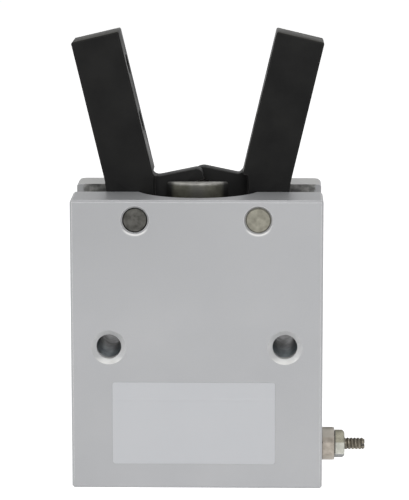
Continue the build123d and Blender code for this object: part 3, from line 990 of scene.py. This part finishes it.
# %% Side hole mouths
MOUTH_R = 3.44 * MM
MOUTH_DEPTH = 0.85 * MM
MOUTH_FILL = 2.55 * MM
MOUTH_STEPS = 64
MOUTH_OUTLINE = ((HOLE_R + 0.02 * MM, MOUTH_FILL), (HOLE_R - 0.03 * MM, MOUTH_FILL),
                 (HOLE_R - 0.03 * MM, MOUTH_DEPTH), (MOUTH_R, 0.02 * MM), (HOLE_R + 0.02 * MM, MOUTH_FILL))


def make_mouth(name, place_x):
    mouth = draw_outline(name, [(radius, FRONT_Y + depth, 0.0) for radius, depth in MOUTH_OUTLINE])
    spin_outline(mouth, (0.0, 1.0, 0.0), MOUTH_STEPS)
    mouth.location = (place_x, 0.0, HOLE_Z)
    settle(mouth)
    mouth.data.materials.append(mouth_metal)
    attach(mouth, "gripper_body")
    return mouth


# %% [markdown]
# Behind each mouth the tap has cut its thread, a thin sleeve of ridges that catches a little
# light. It is swept along the axis of a hole at the origin, then turned and moved into place.

# %% Tapped holes
TAP_PITCH = 1.0 * MM
TAP_LENGTH = 27.4 * MM
TAP_RIDGE = 0.08
SIDES = (("left", -1), ("right", 1))


def make_tapped_thread(name, body, metal, radius, pitch, length, turn, place):
    thread = sweep_thread(name, radius - TAP_RIDGE * pitch, radius - 0.01 * MM, pitch, length)
    trim_thread(thread, length, closed=False)
    thread.rotation_euler = turn
    thread.location = place
    settle(thread)
    thread.data.materials.append(metal)
    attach(thread, body)
    return thread


for word, side in SIDES:
    mouth = make_mouth(word + "_mouth", side * HOLE_X)
    place = (side * HOLE_X, FRONT_Y + MOUTH_FILL, HOLE_Z)
    thread = make_tapped_thread(word + "_hole_thread", "gripper_body", hole_metal, HOLE_R, TAP_PITCH,
                                TAP_LENGTH, (0.0, 0.0, math.pi / 2), place)
    print(mouth.name, len(mouth.data.polygons), "faces,", thread.name, len(thread.data.polygons), "faces")

# %% [markdown]
# The holes across the fingers, the two air ports on the right side and the two holes in the foot
# take smaller screws. Each gets the same thread in its own length, a little short of both faces so
# that the mouth stays clean.

# %% Small tapped holes
SMALL_R = 2.1 * MM
SMALL_PITCH = 0.8 * MM
FINGER_HOLES = (28.8 * MM, 17.2 * MM)
FINGER_THREAD = 8.6 * MM
FINGER_THREAD_START = -FINGER_THREAD / 2 - 0.1 * MM
PORT_Y = 5.0 * MM
PORT_HEIGHTS = (11.9 * MM, 22.43 * MM)
PORT_THREAD = 6.6 * MM
FOOT_X = 18.0 * MM
FOOT_THREAD = 7.8 * MM
MOUTH_GAP = 0.5 * MM


def make_small_thread(name, body, metal, length, turn, place):
    return make_tapped_thread(name, body, metal, SMALL_R, SMALL_PITCH, length, turn, place)


thread_metal = bare_metal("tapped_aluminium", (0.46, 0.46, 0.47), (0.26, 0.26, 0.27), 0.34)
small = []
for word, side in SIDES:
    lean = math.pi + REST_ANGLE if side > 0 else -REST_ANGLE
    for number, height in enumerate(FINGER_HOLES, 1):
        start_x, start_z = from_finger(FINGER_THREAD_START, height, side)
        small.append(make_small_thread("%s_finger_thread_%d" % (word, number), word + "_jaw",
                                       finishes["left_finger"], FINGER_THREAD, (0.0, lean, 0.0),
                                       (start_x, 0.0, start_z)))
    small.append(make_small_thread(word + "_foot_thread", "gripper_body", thread_metal, FOOT_THREAD,
                                   (0.0, -math.pi / 2, 0.0), (side * FOOT_X, 0.0, MOUTH_GAP)))
for number, height in enumerate(PORT_HEIGHTS, 1):
    place = (BLOCK_W / 2 - MOUTH_GAP - PORT_THREAD, PORT_Y, height)
    small.append(make_small_thread("port_thread_%d" % number, "gripper_body", thread_metal, PORT_THREAD,
                                   (0.0, 0.0, 0.0), place))
print(len(small), "small threads,", sum(len(piece.data.polygons) for piece in small), "faces")

# %% [markdown]
# The table is a plain white plane, and it is also the whole background of the picture. A diffuse
# plane alone would come out grey, so it glows a little for the camera and for mirrors, and stays
# dark as a lamp. It belongs to the stage and not to the object.

# %% Table
TABLE_GLOW = 0.75


def make_floor():
    deselect_all()
    bpy.ops.mesh.primitive_plane_add(size=4.0, location=(0.0, 0.0, -0.02 * MM))
    floor = start_shape("floor")
    settle(floor)
    material = bpy.data.materials.new("white_table")
    material.use_nodes = True
    tree = material.node_tree
    tree.nodes.remove(tree.nodes["Principled BSDF"])
    lit = add_node(tree, "ShaderNodeBsdfDiffuse")
    lit.inputs["Color"].default_value = (0.85, 0.85, 0.85, 1.0)
    glow = add_node(tree, "ShaderNodeEmission")
    glow.inputs["Color"].default_value = (1.0, 1.0, 1.0, 1.0)
    seen = add_node(tree, "ShaderNodeLightPath").outputs
    share = math_node(tree, "MAXIMUM", seen["Is Camera Ray"], seen["Is Glossy Ray"])
    join(tree, product(tree, share, TABLE_GLOW), glow.inputs["Strength"])
    both = add_node(tree, "ShaderNodeAddShader")
    join(tree, lit.outputs[0], both.inputs[0])
    join(tree, glow.outputs[0], both.inputs[1])
    join(tree, both.outputs[0], tree.nodes["Material Output"].inputs["Surface"])
    floor.data.materials.append(material)
    floor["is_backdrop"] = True


make_floor()
print("table glow:", TABLE_GLOW)

# %% [markdown]
# The light is a large soft box in front and above, a fill from the left, a third box overhead, and
# a white room all round. The room is plain white to the camera and to mirrors, and dimmer as a
# light. Its ceiling is darker than its walls, so faces that look up stay calmer than those that
# look at the camera.

# %% Light
ROOM_LIGHT = 0.34
CEILING_SHARE = 0.45
LIGHT_TARGET = Vector((0.0, 0.0, 0.04))


def soft_box(name, place, size, power):
    data = bpy.data.lights.new(name, "AREA")
    data.shape = "RECTANGLE"
    data.size, data.size_y = size
    data.energy = power
    lamp = bpy.data.objects.new(name, data)
    way = (LIGHT_TARGET - Vector(place)).to_track_quat("-Z", "Y")
    lamp.matrix_world = Matrix.Translation(place) @ way.to_matrix().to_4x4()
    bpy.context.scene.collection.objects.link(lamp)


def white_room():
    world = bpy.data.worlds.new("white_room")
    bpy.context.scene.world = world
    world.use_nodes = True
    tree = world.node_tree
    background = tree.nodes["Background"]
    background.inputs["Color"].default_value = (1.0, 1.0, 1.0, 1.0)
    seen = add_node(tree, "ShaderNodeLightPath").outputs
    plain = math_node(tree, "MAXIMUM", seen["Is Camera Ray"], seen["Is Glossy Ray"])
    plain = math_node(tree, "MAXIMUM", plain, seen["Is Transmission Ray"])
    level = stretch(tree, plain, 0.0, 1.0, ROOM_LIGHT, 1.0)
    way = split(tree, add_node(tree, "ShaderNodeTexCoord").outputs["Generated"])
    ceiling = stretch(tree, way["Z"], 0.25, 0.8, 1.0, CEILING_SHARE)
    join(tree, product(tree, level, ceiling), background.inputs["Strength"])


soft_box("front_box", (0.25, -1.1, 0.9), (0.9, 0.7), 8.5)
soft_box("left_box", (-1.0, -0.5, 0.7), (0.7, 0.7), 2.6)
soft_box("top_box", (0.0, 0.1, 1.2), (0.8, 0.8), 2.2)
white_room()
bpy.context.scene.view_settings.view_transform = "Standard"
print("lights:", [lamp.name for lamp in bpy.data.lights])

# %% [markdown]
# At the end the whole model is measured once more, the label's thickness included, and its box is
# printed. It has to fit into the CAD box, apart from the label's thickness.

# %% Sizes and finish
visual_low, visual_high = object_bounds()
for word, corner in (("low", visual_low), ("high", visual_high)):
    print(word, "corner of the visual box in mm:", [round(value / MM, 2) for value in corner])
